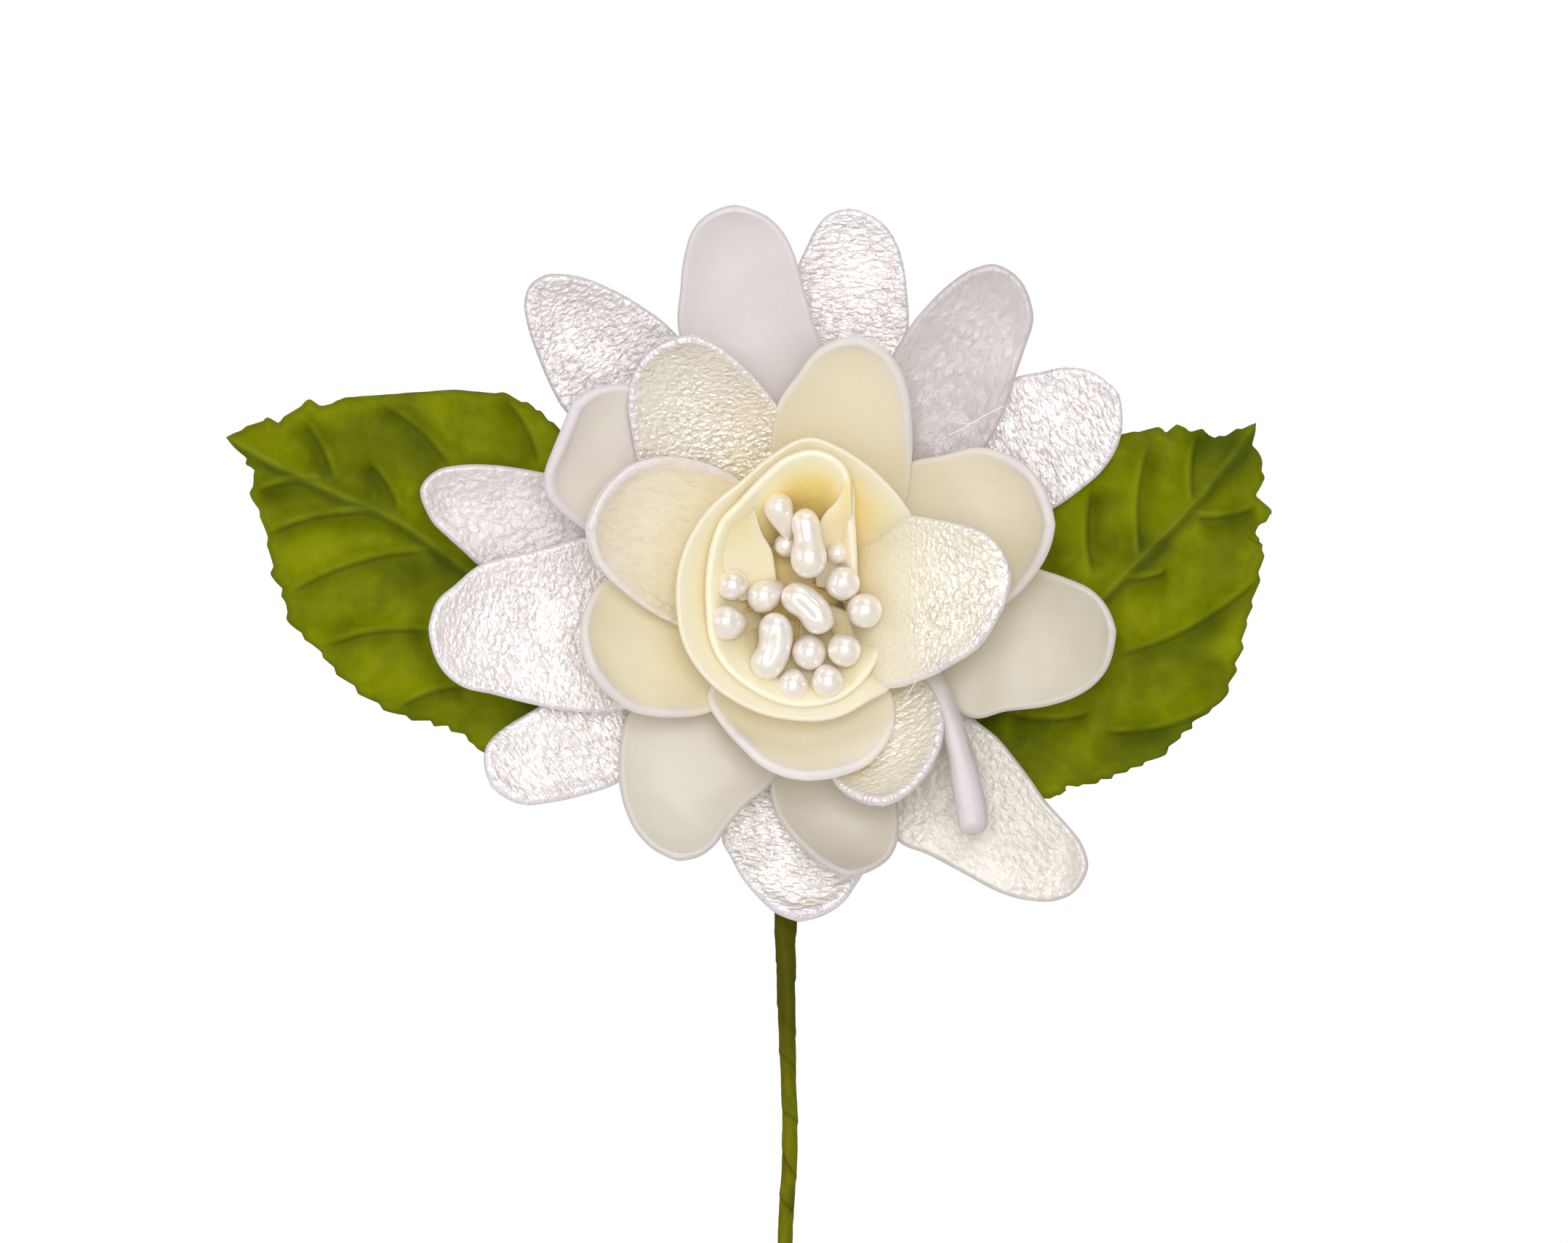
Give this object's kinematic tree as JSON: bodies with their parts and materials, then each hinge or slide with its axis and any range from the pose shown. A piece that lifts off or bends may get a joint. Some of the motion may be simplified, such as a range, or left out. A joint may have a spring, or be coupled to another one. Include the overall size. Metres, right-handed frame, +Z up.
{
  "type": "flower hair clip",
  "caption": "Artificial gardenia on a sprung alligator hair clip: layered satin petals round a pearl centre, two serrated leaves and a tape-wrapped wire stem.",
  "frame": {"origin": "middle of the clip's gripping plane (the hair side of the fixed jaw) on the flower's axis", "axes": "+Z up along the stem towards the flower's top, -Y the way the flower faces, +Y into the hair, +X to the right of someone looking at the flower"},
  "size_m": [0.0991, 0.034, 0.1175],
  "materials": {
    "petal_outer": "pearlescent crinkled satin bonded to thin craft foam",
    "petal_inner": "cream pearlescent satin bonded to thin craft foam",
    "petal_centre": "smooth warm yellow-cream satin",
    "pearl": "pearl lacquer",
    "thread": "waxed cotton thread",
    "leaf": "heat-embossed olive satin",
    "stem_tape": "stretched waxed paper tape",
    "wire": "paper-covered green florist's wire",
    "glue": "cloudy hot-melt glue",
    "felt": "pressed craft felt",
    "clip_steel": "nickel-plated pressed steel",
    "clip_pin": "nickel-plated steel",
    "spring_steel": "bright spring wire"
  },
  "bodies": {
    "flower": {"bean_pearls": "pearl", "centre_curl": "petal_centre", "centre_wrap_inner": "petal_centre", "centre_wrap_outer": "petal_centre", "clip_fixed_jaw": "clip_steel", "felt_backing": "felt", "flower_core": "glue", "glue_pad": "glue", "hinge_pin": "clip_pin", "inner_petal_01": "petal_inner", "inner_petal_02": "petal_inner", "inner_petal_03": "petal_inner", "leaf_left": "leaf", "leaf_right": "leaf", "leaf_wire_left": "wire", "leaf_wire_right": "wire", "middle_petal_01": "petal_inner", "middle_petal_02": "petal_inner", "middle_petal_03": "petal_inner", "middle_petal_04": "petal_inner", "middle_petal_05": "petal_inner", "middle_petal_06": "petal_inner", "outer_petal_01": "petal_outer", "outer_petal_02": "petal_outer", "outer_petal_03": "petal_outer", "outer_petal_04": "petal_outer", "outer_petal_05": "petal_outer", "outer_petal_06": "petal_outer", "outer_petal_07": "petal_outer", "outer_petal_08": "petal_outer", "outer_petal_09": "petal_outer", "outer_petal_10": "petal_outer", "outer_petal_11": "petal_outer", "outer_petal_12": "petal_outer", "outer_petal_13": "petal_outer", "outer_petal_14": "petal_outer", "round_pearls": "pearl", "stamen_threads": "thread", "stem_tape": "stem_tape", "stem_wire": "wire", "torsion_spring": "spring_steel"},
    "jaw": {"clip_moving_jaw": "clip_steel"}
  },
  "joints": [
    {"name": "jaw_open", "type": "hinge", "parent": "flower", "child": "jaw", "pos_m": [-0.008, 0.0034, 0], "axis": [0, 0, 1], "range_deg": [0, 28], "stiffness_Nm_per_rad": 0.12, "springref_deg": -34.38, "deforming": ["torsion_spring"]}
  ]
}
